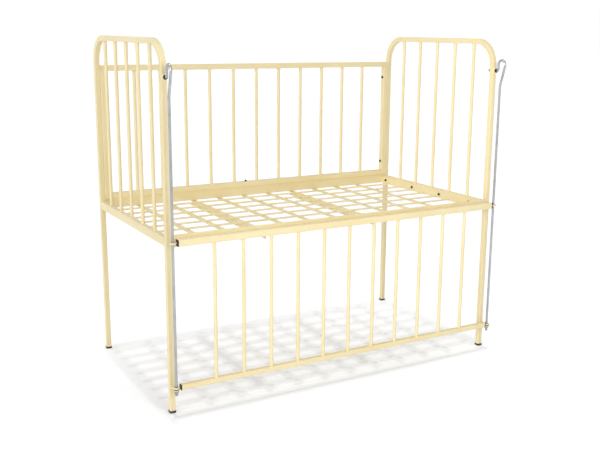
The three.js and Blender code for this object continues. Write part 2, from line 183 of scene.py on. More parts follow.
class CotStage(bpy.types.PropertyGroup):
    """Floor, lamps and camera."""

    floor: colour("Floor", "Pale studio floor", (0.90, 0.916, 0.955))
    floor_glow: number("Floor glow", "Lift to white under the cot", 0.17)
    far_glow: number("Far glow", "Lift to white away from the cot", 0.41)
    near_middle: point("Near middle", "Middle of the near floor", (-0.2, -0.55, 0))
    near_floor: length("Near floor", "How far the near floor reaches", 0.4)
    far_floor: length("Far floor", "Where the far floor begins", 1.5)
    ambient: number("Ambient", "Even light from all round", 0.40)
    key: number("Key", "Strength of the soft light on the left", 1.95)
    key_blur: degrees("Key blur", "Angular size of the light on the left", 50)
    key_heading: point("Key heading", "Which way the left light shines", (0.93, 0.31, -0.10))
    front: number("Front", "Power of the panel in front, in watts", 16.8)
    front_size: length("Front size", "Width of the panel in front", 1.1)
    front_place: point("Front place", "Place of the panel in front", (-0.35, -2.3, 1.2))
    front_aim: point("Front aim", "What the panel in front faces", (0.15, 0.0, 0.7))
    top: number("Top", "Strength of each of the two lights above", 0.37)
    top_blur: degrees("Top blur", "Angular size of the lights above", 1.0)
    top_lean: point("Top lean", "Lean of the two lights above, one each way", (0.0195, 0.0186, 0))
    camera_place: point("Camera", "Place of the camera", (-1.667095, -2.936751, 1.277985))
    azimuth: degrees("Azimuth", "Camera's turn about Z", -30.4233)
    elevation: degrees("Elevation", "Camera's look down", 12.7136)
    roll: degrees("Roll", "Camera's roll", 0.59296)
    lens: number("Lens", "Focal length in mm", 52.4156)
    shift: FloatVectorProperty(
        name="Shift", description="Shift of the picture", default=(-0.02071, 0.000875), size=2
    )


class Wire:
    """A node's output, on which arithmetic adds Math nodes."""

    def __init__(self, tree, socket):
        self.tree = tree
        self.socket = socket

    def calc(self, operation, first, second):
        node = self.tree.nodes.new("ShaderNodeMath")
        node.operation = operation
        for place, value in zip(node.inputs, (first, second)):
            feed(self.tree, place, value)
        return Wire(self.tree, node.outputs[0])

    def __add__(self, other):
        return self.calc("ADD", self, other)

    def __radd__(self, other):
        return self.calc("ADD", other, self)

    def __mul__(self, other):
        return self.calc("MULTIPLY", self, other)

    def __rmul__(self, other):
        return self.calc("MULTIPLY", other, self)


def feed(tree, place, value):
    """Links a wire to a socket, or sets the socket's own value."""
    if isinstance(value, Wire):
        tree.links.new(value.socket, place)
    elif hasattr(value, "__len__") and place.type == "RGBA":
        place.default_value = (*value, 1)
    else:
        place.default_value = value


class Finish:
    """A node tree that is filled in node by node."""

    def __init__(self, owner):
        owner.use_nodes = True
        self.tree = owner.node_tree
        self.tree.nodes.clear()

    def node(self, kind, settings=None, inputs=None, output=0):
        made = self.tree.nodes.new(kind)
        for key, value in (settings or {}).items():
            if key == "stops":
                for element, (place, shade) in zip(made.color_ramp.elements, value):
                    element.position = place
                    element.color = (shade, shade, shade, 1)
            else:
                setattr(made, key, value)
        for key, value in (inputs or {}).items():
            feed(self.tree, made.inputs[key], value)
        return Wire(self.tree, made.outputs[output]) if made.outputs else None

    def noise(self, scale, detail=2.0, stretch=None):
        place = self.node("ShaderNodeTexCoord", output="Object")
        if stretch:
            place = self.node("ShaderNodeMapping", inputs={"Vector": place, "Scale": stretch})
        return self.node("ShaderNodeTexNoise", inputs={"Vector": place, "Scale": scale, "Detail": detail})

    def ramp(self, value, low, high):
        stops = {"stops": ((low, 0.0), (high, 1.0))}
        return self.node("ShaderNodeValToRGB", stops, {"Fac": value})

    def mixed(self, share, first, second):
        inputs = {0: share, 6: first, 7: second}
        return self.node("ShaderNodeMix", {"data_type": "RGBA"}, inputs, 2)

    def bump(self, height, strength, distance):
        inputs = {"Height": height, "Strength": strength, "Distance": distance}
        return self.node("ShaderNodeBump", inputs=inputs)

    def surface(self, inputs):
        shader = self.node("ShaderNodeBsdfPrincipled", inputs=inputs)
        self.node("ShaderNodeOutputMaterial", inputs={"Surface": shader})


def enamel(colours):
    """Cream stoved enamel: faint clouding, orange peel, lumpy over welds, rubbed at corners."""
    material = bpy.data.materials.new("cream_enamel_coat")
    f = Finish(material)
    weld = f.node("ShaderNodeAttribute", {"attribute_name": "weld"}, output="Fac")
    edge = f.node("ShaderNodeAttribute", {"attribute_name": "edge"}, output="Fac")
    cloud = f.ramp(f.noise(7.0, 4.0), 0.35, 0.70)
    speck = f.ramp(f.noise(160.0, 3.0), 0.70, 0.76)
    rub = f.ramp(f.noise(55.0, 5.0), 0.66, 0.74)
    tone = f.mixed(cloud, colours.enamel, colours.enamel_deep)
    tone = f.mixed(weld * 0.55, tone, colours.enamel_deep)
    tone = f.mixed(edge * rub * 0.35 + speck * rub * 0.4, tone, colours.primer)
    peel = f.noise(650.0, 2.0)
    ripple = f.noise(260.0, 3.0)
    height = peel * 0.35 + weld * ripple
    gloss = 0.36 + 0.10 * cloud + 0.12 * weld + 0.15 * speck
    f.surface({
        "Base Color": tone,
        "Roughness": gloss,
        "Specular IOR Level": 0.45,
        "Normal": f.bump(height, 0.22, 0.0006),
    })
    return material


def chrome(colours):
    """Plated rod: drawn along its length, a little clouded and pitted."""
    material = bpy.data.materials.new("bright_plating")
    f = Finish(material)
    drawn = f.noise(900.0, 2.0, (1.0, 1.0, 0.015))
    cloud = f.ramp(f.noise(24.0, 4.0), 0.42, 0.68)
    pit = f.ramp(f.noise(420.0, 2.0), 0.70, 0.75)
    tone = f.mixed(cloud * 0.7 + pit * 0.3, colours.chrome, colours.chrome_dull)
    f.surface({
        "Base Color": tone,
        "Metallic": 1.0,
        "Roughness": 0.13 + 0.10 * cloud + 0.25 * pit,
        "Normal": f.bump(drawn + pit * 0.6, 0.10, 0.0003),
    })
    return material


def plastic(colours):
    """Moulded black plastic with a fine grain."""
    material = bpy.data.materials.new("moulded_plastic")
    f = Finish(material)
    grain = f.noise(1400.0, 2.0)
    scuff = f.ramp(f.noise(130.0, 4.0), 0.58, 0.72)
    tone = f.mixed(scuff * 0.5, colours.plastic, colours.plastic_scuffed)
    f.surface({
        "Base Color": tone,
        "Roughness": 0.42 + 0.2 * scuff,
        "Normal": f.bump(grain, 0.25, 0.0003),
    })
    return material


def steel(colours):
    """Blackened steel of bolts and nuts, rubbed brighter on its edges."""
    material = bpy.data.materials.new("blackened_steel")
    f = Finish(material)
    edge = f.node("ShaderNodeAttribute", {"attribute_name": "edge"}, output="Fac")
    stain = f.ramp(f.noise(240.0, 4.0), 0.40, 0.65)
    turned = f.noise(1100.0, 2.0)
    tone = f.mixed(edge * (0.35 + 0.4 * stain), colours.steel, colours.steel_worn)
    f.surface({
        "Base Color": tone,
        "Metallic": 0.85,
        "Roughness": 0.34 + 0.2 * stain,
        "Normal": f.bump(turned, 0.2, 0.0003),
    })
    return material


MAKERS = {
    "cream_enamel": enamel,
    "chrome_rod": chrome,
    "black_plastic": plastic,
    "dark_steel": steel,
}
MADE = {}


def finish_of(slot):
    """The material of a slot of the record, made on first use."""
    if slot not in MADE:
        MADE[slot] = MAKERS[slot](bpy.context.scene.cot_colours)
    return MADE[slot]


def start():
    """An empty mesh with the layers that the finishes read."""
    bm = bmesh.new()
    bm.faces.layers.float.new("edge")
    bm.verts.layers.float.new("weld")
    return bm


def mark(bm, layer, items, value=1.0):
    """Writes a value for the finishes: "edge" on faces or "weld" on vertices."""
    domain = bm.faces if layer == "edge" else bm.verts
    key = domain.layers.float[layer]
    for item in items:
        item[key] = value


def piece(bm, name, body, slot, stands_for=()):
    """Turns a mesh into a finished piece that rides on a body."""
    crease = math.radians(40)
    bmesh.ops.remove_doubles(bm, verts=bm.verts, dist=1e-6)
    bmesh.ops.recalc_face_normals(bm, faces=bm.faces)
    mesh = bpy.data.meshes.new(name)
    bm.to_mesh(mesh)
    bm.free()
    mesh.polygons.foreach_set("use_smooth", [True] * len(mesh.polygons))
    mesh.set_sharp_from_angle(angle=crease)
    obj = bpy.data.objects.new(name, mesh)
    bpy.context.scene.collection.objects.link(obj)
    mesh.materials.append(finish_of(slot))
    even = obj.modifiers.new("even_normals", "WEIGHTED_NORMAL")
    even.keep_sharp = True
    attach(obj, body)
    if stands_for:
        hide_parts(*stands_for)


def soften(bm, geom, radius, segments, affect="EDGES"):
    """Rounds edges or corners; the new faces."""
    return bmesh.ops.bevel(
        bm, geom=geom, offset=radius, offset_type="OFFSET", segments=segments,
        profile=0.5, affect=affect, material=-1, clamp_overlap=True,
    )["faces"]


def block(bm, low, high, rounded, corner, segments=4):
    """A closed block whose edges along the named axes are rounded; its new vertices."""
    known = set(bm.verts)
    low, high = Vector(low), Vector(high)
    verts = bmesh.ops.create_cube(bm, size=1.0)["verts"]
    bmesh.ops.scale(bm, vec=high - low, verts=verts)
    bmesh.ops.translate(bm, vec=(low + high) / 2, verts=verts)
    edges = []
    for edge in {e for v in verts for e in v.link_edges}:
        run_along = edge.verts[0].co - edge.verts[1].co
        axis = max(range(3), key=lambda i: abs(run_along[i]))
        if "xyz"[axis] in rounded:
            edges.append(edge)
    mark(bm, "edge", soften(bm, edges, corner, segments))
    return [v for v in bm.verts if v not in known]


def lathe(bm, profile, place, towards="+z", steps=24):
    """Spins a profile of radius and height round an axis; its new vertices."""
    known = set(bm.verts)
    verts = [bm.verts.new((radius, 0, height)) for radius, height in profile]
    edges = [bm.edges.new(pair) for pair in zip(verts, verts[1:])]
    bmesh.ops.spin(
        bm, geom=verts + edges, cent=(0, 0, 0), axis=(0, 0, 1), angle=2 * math.pi,
        steps=steps, use_merge=True,
    )
    fresh = [v for v in bm.verts if v not in known]
    bmesh.ops.remove_doubles(bm, verts=fresh, dist=1e-6)
    fresh = [v for v in bm.verts if v not in known]
    bmesh.ops.transform(bm, matrix=Matrix.Translation(place) @ TURN[towards], verts=fresh)
    return fresh


def washer(bm, hole, rim, low, high, place, towards="+z", edge=WASHER_EDGE, steps=32):
    """A flat ring with softened rims."""
    soft = min(edge, (high - low) / 3)
    profile = [(hole, low), (rim - soft, low), (rim, low + soft)]
    profile += [(rim, high - soft), (rim - soft, high), (hole, high), (hole, low)]
    lathe(bm, profile, place, towards, steps)


def hexagon(bm, across, low, high, place, towards):
    """A six-sided head or nut with softened rims."""
    rim = min(HEX_EDGE, (high - low) / 4)
    radius = across / 2
    matrix = Matrix.Translation(place) @ TURN[towards] @ Matrix.Translation((0, 0, (low + high) / 2))
    verts = bmesh.ops.create_cone(
        bm, cap_ends=True, segments=6, radius1=radius, radius2=radius, depth=high - low, matrix=matrix
    )["verts"]
    edges = list({e for v in verts for e in v.link_edges})
    mark(bm, "edge", soften(bm, edges, rim, 2))


def disc(bm, place, radius, steps):
    """A flat round face that a sweep starts from."""
    matrix = Matrix.Translation(place)
    made = bmesh.ops.create_circle(bm, cap_ends=True, segments=steps, radius=radius, matrix=matrix)
    return made["verts"][0].link_faces[0]


def square(bm, place, size, corner, segments=4):
    """A flat square face with rounded corners that a sweep starts from."""
    made = bmesh.ops.create_grid(
        bm, x_segments=1, y_segments=1, size=size / 2, matrix=Matrix.Translation(place)
    )
    known = set(bm.faces) - {made["verts"][0].link_faces[0]}
    soften(bm, made["verts"], corner, segments, "VERTICES")
    return next(f for f in bm.faces if f not in known)


def run(bm, face, step):
    """Carries a sweep's end face straight on; the new end face."""
    made = bmesh.ops.extrude_face_region(bm, geom=[face])["geom"]
    verts = [g for g in made if isinstance(g, bmesh.types.BMVert)]
    bmesh.ops.translate(bm, vec=step, verts=verts)
    return next(g for g in made if isinstance(g, bmesh.types.BMFace))


def bend(bm, face, centre, angle, steps):
    """Carries a sweep's end face round a bend about an axis along X; the new end face."""
    made = bmesh.ops.spin(bm, geom=[face], cent=centre, axis=(1, 0, 0), angle=angle, steps=steps)
    return next(g for g in made["geom_last"] if isinstance(g, bmesh.types.BMFace))


def swell(bm, face, factors):
    """Scales a sweep's end face about its own middle."""
    middle = face.calc_center_median()
    bmesh.ops.scale(bm, vec=factors, verts=face.verts[:], space=Matrix.Translation(-middle))


def bead(bm, first, last, radius):
    """A lumpy fillet weld along a straight joint."""
    first, last = Vector(first), Vector(last)
    along = last - first
    steps = max(3, round(along.length / LUMP_LENGTH))
    turn = along.to_track_quat("Z", "Y").to_matrix().to_4x4()
    end_size, beat = 0.5, 2.4
    made = bmesh.ops.create_circle(
        bm, cap_ends=True, segments=8, radius=radius * end_size, matrix=Matrix.Translation(first) @ turn
    )
    verts = list(made["verts"])
    face = verts[0].link_faces[0]
    size = end_size
    for i in range(steps):
        face = run(bm, face, along / steps)
        wanted = end_size if i == steps - 1 else 1 + LUMP_SWELL * math.sin(beat * i)
        swell(bm, face, (wanted / size,) * 3)
        size = wanted
        verts += face.verts[:]
    mark(bm, "weld", verts)


def middle_of(node):
    low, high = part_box(node)
    return (low + high) / 2


def spread(total, low, high):
    """Evenly spaced values from low to high, both included."""
    return [low + (high - low) * i / (total - 1) for i in range(total)]


class CotOperator(bpy.types.Operator):
    """What the operators of the cot share."""

    bl_options = {"REGISTER", "UNDO"}

    def execute(self, context):
        self.build(context.scene.cot_sizes)
        return {"FINISHED"}


class COT_OT_hoops(CotOperator):
    """Bent square-tube hoops of the two ends, with the eye brackets of the guide rods"""

    bl_idname = "cot.hoops"
    bl_label = "End Hoops"

    def build(self, s):
        for side, _ in SIDES:
            bm = start()
            low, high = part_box(f"{side}_hoop")
            front = middle_of(f"{side}_front_foot")
            back = middle_of(f"{side}_back_foot")
            x = front.x
            rise = high.z - s.post / 2 - s.hoop_radius - low.z
            shoulder = low.z + rise
            face = square(bm, (x, front.y, low.z), s.post, s.corner)
            face = run(bm, face, (0, 0, rise))
            face = bend(bm, face, (x, front.y + s.hoop_radius, shoulder), -math.pi / 2, 16)
            face = run(bm, face, (0, back.y - front.y - 2 * s.hoop_radius, 0))
            face = bend(bm, face, (x, back.y - s.hoop_radius, shoulder), -math.pi / 2, 16)
            run(bm, face, (0, 0, -rise))
            self.bracket(bm, s, side, front.y - s.post / 2)
            self.sleeve(bm, s, side, front.y - s.post / 2)
            piece(bm, f"hoop_{side}", FRAME_BODY, "cream_enamel", [f"{side}_hoop"])
            self.buffer(s, side)

    def bracket(self, bm, s, side, post_front):
        """A plate with a hole for the rod, welded to the front of the post."""
        place = middle_of(f"{side}_rod_nut")
        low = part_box(f"{side}_rod_nut")[1].z
        high = low + s.eye_bar - s.buffer
        hole = s.rod / 2 + s.rod_gap
        wall = 0.00575
        arm = 0.008
        arm_start = hole + 0.002
        rim = hole + wall
        soft = PLATE_EDGE
        ring = [(hole, low), (rim - soft, low), (rim - soft / 3, low + soft / 3), (rim, low + soft)]
        ring += [(rim, high - soft), (rim - soft / 3, high - soft / 3), (rim - soft, high)]
        ring += [(hole, high), (hole, low)]
        lathe(bm, ring, (place.x, place.y, 0))
        first = (place.x - arm, place.y + arm_start, low)
        block(bm, first, (place.x + arm, post_front, high), "y", soft)
        for z in (low, high):
            bead(bm, (place.x - arm, post_front, z), (place.x + arm, post_front, z), s.bead)

    def sleeve(self, bm, s, side, post_front):
        """A short sleeve welded to the post, for the bolt of the rod."""
        centre = middle_of(f"{side}_rod_bolt")
        soft = SLEEVE_EDGE
        weld_reach, weld_spread = 0.0018, 0.0016
        waist_reach, waist_spread = 0.0011, 0.0005
        mouth, rim, low = s.rod / 2 + s.rod_gap, s.boss_rim, post_front - s.boss
        tube = [(mouth, low), (rim - soft, low), (rim - soft / 3, low + soft / 3), (rim, low + soft)]
        tube += [(rim, post_front - weld_reach)]
        joint = [(rim + waist_spread, post_front - waist_reach), (rim + weld_spread, post_front)]
        verts = lathe(bm, tube + joint, (centre.x, 0, centre.z), "+y", 36)
        weld_start = post_front - (weld_reach + waist_reach) / 2
        mark(bm, "weld", [v for v in verts if v.co.y > weld_start])

    def buffer(self, s, side):
        """The washer on the plate that the lowered eye lands on."""
        place = middle_of(f"{side}_rod_nut")
        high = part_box(f"{side}_rod_nut")[1].z + s.eye_bar
        low = high - s.buffer
        hole = s.rod / 2 + s.rod_gap / 2
        wall = 0.005
        bm = start()
        washer(bm, hole, hole + wall, low, high, (place.x, place.y, 0), edge=BUFFER_EDGE, steps=40)
        piece(bm, f"buffer_{side}", FRAME_BODY, "black_plastic")


class COT_OT_bars(CotOperator):
    """Round upright bars of the ends, the back side and the drop side, with welded ends"""

    bl_idname = "cot.bars"
    bl_label = "Round Bars"

    def build(self, s):
        for node in sorted(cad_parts):
            if "_bar_" in node or "_spindle_" in node:
                self.bar(s, node)

    def bar(self, s, node):
        low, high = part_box(node)
        place = (low + high) / 2
        radius = (high.x - low.x) / 2
        tall = high.z - low.z
        flare = s.flare
        lumps, lump = 7, LUMP_SWELL * flare
        foot = [(radius + flare, 0.0), (radius + 0.75 * flare, 0.5 * flare)]
        foot += [(radius + 0.3 * flare, 1.1 * flare), (radius, 2.2 * flare)]
        levels = [(radius, tall * i / 4) for i in (1, 2, 3)]
        profile = foot + levels + [(r, tall - z) for r, z in reversed(foot)]
        bm = start()
        verts = lathe(bm, profile, (place.x, place.y, low.z), steps=s.round_steps)
        for vert in verts:
            end = min(vert.co.z - low.z, high.z - vert.co.z)
            if end > 2 * flare:
                continue
            mark(bm, "weld", [vert])
            out = Vector((vert.co.x - place.x, vert.co.y - place.y, 0))
            turn = math.atan2(out.y, out.x)
            vert.co += out.normalized() * lump * math.sin(lumps * turn + place.x * 40)
        body = DROP_BODY if node.startswith("drop_") else FRAME_BODY
        piece(bm, f"round_{node}", body, "cream_enamel", [node])


class COT_OT_rails(CotOperator):
    """Square-tube rails and stiles of the ends and the back side"""

    bl_idname = "cot.rails"
    bl_label = "Rails and Stiles"

    def build(self, s):
        runs = {
            "left_end_rail": "y", "right_end_rail": "y", "back_low_rail": "x", "back_top_rail": "x",
            "back_left_stile": "z", "back_right_stile": "z",
        }
        for node, axis in runs.items():
            bm = start()
            block(bm, *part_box(node), axis, s.corner)
            piece(bm, f"tube_{node}", FRAME_BODY, "cream_enamel", [node])


class COT_OT_drop_rails(CotOperator):
    """Rails of the drop side, with the eyes that ride on the guide rods"""

    bl_idname = "cot.drop_rails"
    bl_label = "Drop Rails"

    def build(self, s):
        for level in ("top", "low"):
            node = f"drop_{level}_rail"
            low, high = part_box(node)
            place = (low + high) / 2
            half = (high.z - low.z) / 2
            ends = [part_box(f"{side}_{level}_plug") for side, _ in SIDES]
            first, last = ends[0][0].x + s.plug_cap, ends[1][1].x - s.plug_cap
            bm = start()
            block(bm, (first, place.y - half, low.z), (last, place.y + half, high.z), "x", s.corner)
            for (side, sign), end in zip(SIDES, (first, last)):
                rod = middle_of(f"{side}_rod_nut")
                self.eye(bm, s, Vector((rod.x, place.y, place.z)), end, sign)
            piece(bm, f"rail_{node}", DROP_BODY, "cream_enamel", [node])

    def eye(self, bm, s, centre, end, sign):
        """A ring of round bar about the rod, on a shank out of the rail's end."""
        bar = s.eye_bar / 2
        ring = s.rod / 2 + s.eye_gap + bar
        neck, neck_swell, root = 0.002, 1.2, 0.001
        weld_reach = 0.003
        known = set(bm.verts)
        matrix = Matrix.Translation(centre + Vector((ring, 0, 0))) @ Matrix.Rotation(math.pi / 2, 4, "X")
        loop = bmesh.ops.create_circle(bm, segments=14, radius=bar, matrix=matrix)["verts"]
        edges = list({e for v in loop for e in v.link_edges})
        bmesh.ops.spin(
            bm, geom=loop + edges, cent=centre, axis=(0, 0, 1), angle=2 * math.pi, steps=40, use_merge=True
        )
        reach = abs(centre.x - end) - ring
        profile = [(0, 0), (bar, 0), (bar, reach - neck), (bar * neck_swell, reach), (0, reach + root)]
        towards = "+x" if sign > 0 else "-x"
        lathe(bm, profile, (end, centre.y, centre.z), towards, 16)
        fresh = [v for v in bm.verts if v not in known]
        mark(bm, "weld", [v for v in fresh if abs(abs(v.co.x - end) - reach) < weld_reach])


class COT_OT_plugs(CotOperator):
    """Black plastic plugs of the drop rails and feet of the posts"""

    bl_idname = "cot.plugs"
    bl_label = "Plugs and Feet"

    def build(self, s):
        for side, sign in SIDES:
            for level in ("top", "low"):
                self.plug(s, f"{side}_{level}_plug", sign)
            for row in ("front", "back"):
                self.foot(s, f"{side}_{row}_foot", f"{side}_hoop")

    def plug(self, s, node, sign):
        """A cap on the rail's end, with a collar round the eye's shank."""
        low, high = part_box(node)
        face = high.x if sign > 0 else low.x
        inner = face - sign * s.plug_cap
        hole, rim, root, height = 0.0033, 0.0062, -0.0008, 0.0013
        shoulder, shoulder_height, lip = 0.0058, 0.0009, 0.0052
        first = Vector((min(inner, face), low.y, low.z))
        last = Vector((max(inner, face), high.y, high.z))
        centre = (first + last) / 2
        bm = start()
        block(bm, first, last, "xyz", PLUG_EDGE, 3)
        collar = [(hole, root), (rim, root), (shoulder, shoulder_height), (lip, height), (hole, height)]
        lathe(bm, collar, (face, centre.y, centre.z), "+x" if sign > 0 else "-x", 24)
        piece(bm, f"cap_{node}", DROP_BODY, "black_plastic", [node])

    def foot(self, s, node, hoop):
        """A pad under the post, with a narrower neck between the two."""
        low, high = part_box(node)
        post_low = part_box(hoop)[0].z
        groove, groove_depth, neck = 0.0008, 0.0006, 0.003
        bm = start()
        block(bm, low, (high.x, high.y, post_low - groove), "xyz", FOOT_EDGE, 3)
        first = (low.x + groove_depth, low.y + groove_depth, post_low - neck)
        last = (high.x - groove_depth, high.y - groove_depth, post_low)
        block(bm, first, last, "z", s.corner)
        piece(bm, f"pad_{node}", FRAME_BODY, "black_plastic", [node])


class COT_OT_rods(CotOperator):
    """Chrome guide rods with their kink, hook and turned-in end"""

    bl_idname = "cot.rods"
    bl_label = "Guide Rods"

    def build(self, s):
        for side, _ in SIDES:
            node = f"{side}_guide_rod"
            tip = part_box(node)[0].z
            rod = middle_of(f"{side}_rod_nut")
            bolt = middle_of(f"{side}_rod_bolt")
            post_front = middle_of(f"{side}_front_foot").y - s.post / 2
            hook_y = post_front - s.hook_gap
            lean, turn = math.sin(s.kink_angle), math.cos(s.kink_angle)
            slant_end = hook_y - s.hook_radius * (1 + turn)
            slant = (rod.y - s.kink_radius * (1 - turn) - slant_end) / lean
            rise = (s.kink_radius + s.hook_radius) * lean + slant * turn
            kink = bolt.z + s.hook_drop - rise
            point_in, point_height = 0.0009, 0.0012
            widen = s.rod / (s.rod - 2 * point_in)
            bm = start()
            face = disc(bm, (rod.x, rod.y, tip), s.rod / 2 - point_in, s.round_steps)
            face = run(bm, face, (0, 0, point_height))
            swell(bm, face, (widen, widen, 1))
            face = run(bm, face, (0, 0, kink - tip - point_height))
            face = bend(bm, face, (rod.x, rod.y - s.kink_radius, kink), s.kink_angle, 6)
            face = run(bm, face, (0, -slant * lean, slant * turn))
            end = face.calc_center_median()
            centre = end + Vector((0, turn, lean)) * s.hook_radius
            face = bend(bm, face, centre, -(math.pi + s.kink_angle), 30)
            face = run(bm, face, (0, 0, s.hook_turn - s.hook_drop))
            centre = (rod.x, hook_y + s.hook_turn, bolt.z + s.hook_turn)
            face = bend(bm, face, centre, math.pi / 2, 10)
            run(bm, face, (0, s.hook_gap - s.hook_turn + s.post + s.hook_tail, 0))
            piece(bm, f"rod_{node}", FRAME_BODY, "chrome_rod", [node])


class COT_OT_rod_fixings(CotOperator):
    """Bolts that hold the hooks and nuts under the eye brackets"""

    bl_idname = "cot.rod_fixings"
    bl_label = "Rod Bolts and Nuts"

    def build(self, s):
        for side, _ in SIDES:
            self.bolt(s, side)
            self.nut(s, side)

    def bolt(self, s, side):
        """A hollow bolt through the post that takes the rod's turned-in end."""
        node = f"{side}_rod_bolt"
        low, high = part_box(node)
        centre = (low + high) / 2
        post = middle_of(f"{side}_front_foot").y
        front, back = post - s.post / 2, post + s.post / 2
        across = max(high.x - low.x, high.z - low.z)
        place = Vector((centre.x, 0, centre.z))
        lip, lip_wall, cap_wall = 0.0008, 0.0022, 0.0016
        mouth = s.rod / 2 + s.rod_gap / 2
        seat = front - s.boss
        bm = start()
        washer(bm, mouth, mouth + lip_wall, low.y, low.y + 2 * lip, place, "+y")
        hexagon(bm, across, low.y + lip, seat - s.washer, place, "+y")
        washer(bm, mouth, across / 2, seat - s.washer, seat, place, "+y")
        piece(bm, f"bolt_{node}", FRAME_BODY, "dark_steel", [node])
        bm = start()
        washer(bm, mouth, across / 2, back, back + s.washer, place, "+y")
        hexagon(bm, across, back + s.washer, back + s.bolt_nut, place, "+y")
        cap = high.y - back - s.bolt_nut
        bulge = mouth + cap_wall
        dome = [(0, back + s.bolt_nut)]
        for turn in spread(9, 0, math.pi / 2):
            dome.append((bulge * math.cos(turn), back + s.bolt_nut + cap * math.sin(turn)))
        lathe(bm, dome, place, "+y", 28)
        piece(bm, f"cap_nut_{side}", FRAME_BODY, "chrome_rod")

    def nut(self, s, side):
        """A nut with a washer, and the rod's threaded tip below it."""
        node = f"{side}_rod_nut"
        low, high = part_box(node)
        centre = (low + high) / 2
        across = max(high.x - low.x, high.y - low.y)
        place = Vector((centre.x, centre.y, 0))
        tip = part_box(f"{side}_guide_rod")[0].z
        crest = s.rod / 2 + 0.0003
        bm = start()
        hexagon(bm, across, low.z, high.z - s.washer, place, "+z")
        washer(bm, s.rod / 2, across / 2, high.z - s.washer, high.z, place, "+z")
        self.thread(bm, crest, -low.z, -tip, place, "-z")
        piece(bm, f"nut_{node}", FRAME_BODY, "chrome_rod", [node])

    def thread(self, bm, crest, low, high, place, towards):
        """Thread as rings of even pitch, with a pointed end."""
        pitch, depth, taper = 0.00125, 0.0006, 0.001
        turns = max(1, int((high - low - taper) / pitch))
        profile = [(0, low), (crest, low)]
        for i in range(turns):
            base = low + i * pitch
            profile += [(crest, base + 0.2 * pitch), (crest - depth, base + 0.6 * pitch)]
        profile += [(crest, high - taper), (crest - taper, high), (0, high)]
        lathe(bm, profile, place, towards, 20)


class COT_OT_base(CotOperator):
    """Mattress base: frame of flat bars on edge, crossed strips and angle bearers"""

    bl_idname = "cot.base"
    bl_label = "Mattress Base"

    def build(self, s):
        self.frame(s)
        self.lattice(s)
        for which in (1, 2):
            self.bearer(s, f"base_bearer_{which}")

    def strips_along(self, s):
        """Middles of the strips along the base."""
        low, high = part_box("base_frame")
        edge = s.base_bar + s.long_margin
        return spread(s.long_count, low.y + edge, high.y - edge)

    def frame(self, s):
        low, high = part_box("base_frame")
        cross_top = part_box("base_lattice")[0].z + s.strip
        end_top = high.z - s.end_drop
        bm = start()
        for y in (low.y, high.y - s.base_bar):
            block(bm, (low.x, y, cross_top), (high.x, y + s.base_bar, high.z), "x", BAR_EDGE, 3)
        for x in (low.x, high.x - s.base_bar):
            block(bm, (x, low.y, low.z), (x + s.base_bar, high.y, end_top), "y", BAR_EDGE, 3)
        for x in (low.x + s.base_bar, high.x - s.base_bar):
            for y in (low.y + s.base_bar, high.y - s.base_bar):
                bead(bm, (x, y, cross_top), (x, y, end_top), s.bead)
        piece(bm, "bars_base_frame", FRAME_BODY, "cream_enamel", ["base_frame"])

    def lattice(self, s):
        low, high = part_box("base_lattice")
        frame_low, frame_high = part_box("base_frame")
        edge = s.base_bar + s.cross_margin
        xs = spread(s.cross_count, frame_low.x + edge, frame_high.x - edge)
        ys = self.strips_along(s)
        level = low.z + s.strip
        bm = start()
        for x in xs:
            half = s.cross_strip / 2
            strip = block(bm, (x - half, low.y, low.z), (x + half, high.y, level), "xyz", STRIP_EDGE, 2)
            self.draw_down(bm, s, strip, level)
        for y in ys:
            half = s.long_strip / 2
            block(bm, (low.x, y - half, level), (high.x, y + half, high.z), "xyz", STRIP_EDGE, 2)
            for x in (low.x, high.x):
                bead(bm, (x, y - half, high.z), (x, y + half, high.z), s.bead * THIN_BEAD)
        for x in xs:
            for y in ys:
                self.spot(bm, (x, y, high.z))
        piece(bm, "strips_base_lattice", FRAME_BODY, "cream_enamel", ["base_lattice"])

    def draw_down(self, bm, s, strip, top):
        """Thins both ends of a cross strip from below, where it lies under the side bars."""
        ends = min(v.co.y for v in strip), max(v.co.y for v in strip)
        for end, way in zip(ends, (1, -1)):
            tip = [v for v in strip if abs(v.co.y - end) < s.strip]
            edges = {e for v in strip for e in v.link_edges}
            faces = {f for v in strip for f in v.link_faces}
            cut = (0, end + way * s.strip_taper, 0)
            bmesh.ops.bisect_plane(bm, geom=[*strip, *edges, *faces], plane_co=cut, plane_no=(0, 1, 0))
            for v in tip:
                v.co.z = top - (top - v.co.z) * s.strip_end / s.strip

    def spot(self, bm, place):
        """A flattened spot weld where two strips cross."""
        squeeze = Matrix.Translation(place) @ Matrix.Diagonal((1, 1, SPOT_FLATNESS, 1))
        made = bmesh.ops.create_uvsphere(bm, u_segments=10, v_segments=5, radius=SPOT_RADIUS, matrix=squeeze)
        mark(bm, "weld", made["verts"], 0.6)

    def bearer(self, s, node):
        """A length of angle iron with a rounded root and toes, hanging from its top face."""
        low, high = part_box(node)
        t, flange, drop = s.base_bar, high.x - low.x, high.z - low.z
        points = [(0, 0), (flange, 0), (flange, t), (t, t), (t, drop), (0, drop)]
        root, toe, heel = 0.003, 0.0016, 0.0008
        bm = start()
        verts = [bm.verts.new((high.x - a, low.y, high.z - b)) for a, b in points]
        bm.faces.new(verts)
        for chosen, radius in (((3,), root), ((2, 4), toe), ((0, 1, 5), heel)):
            soften(bm, [verts[i] for i in chosen], radius, 3, "VERTICES")
        run(bm, bm.faces[:][0], (0, high.y - low.y, 0))
        level = high.z + s.strip / 2
        for y in self.strips_along(s):
            for edge in (y - s.long_strip / 2 + s.bead / 2, y + s.long_strip / 2 - s.bead / 2):
                bead(bm, (low.x, edge, level), (high.x, edge, level), s.bead * FULL_BEAD)
        piece(bm, f"angle_{node}", FRAME_BODY, "cream_enamel", [node])


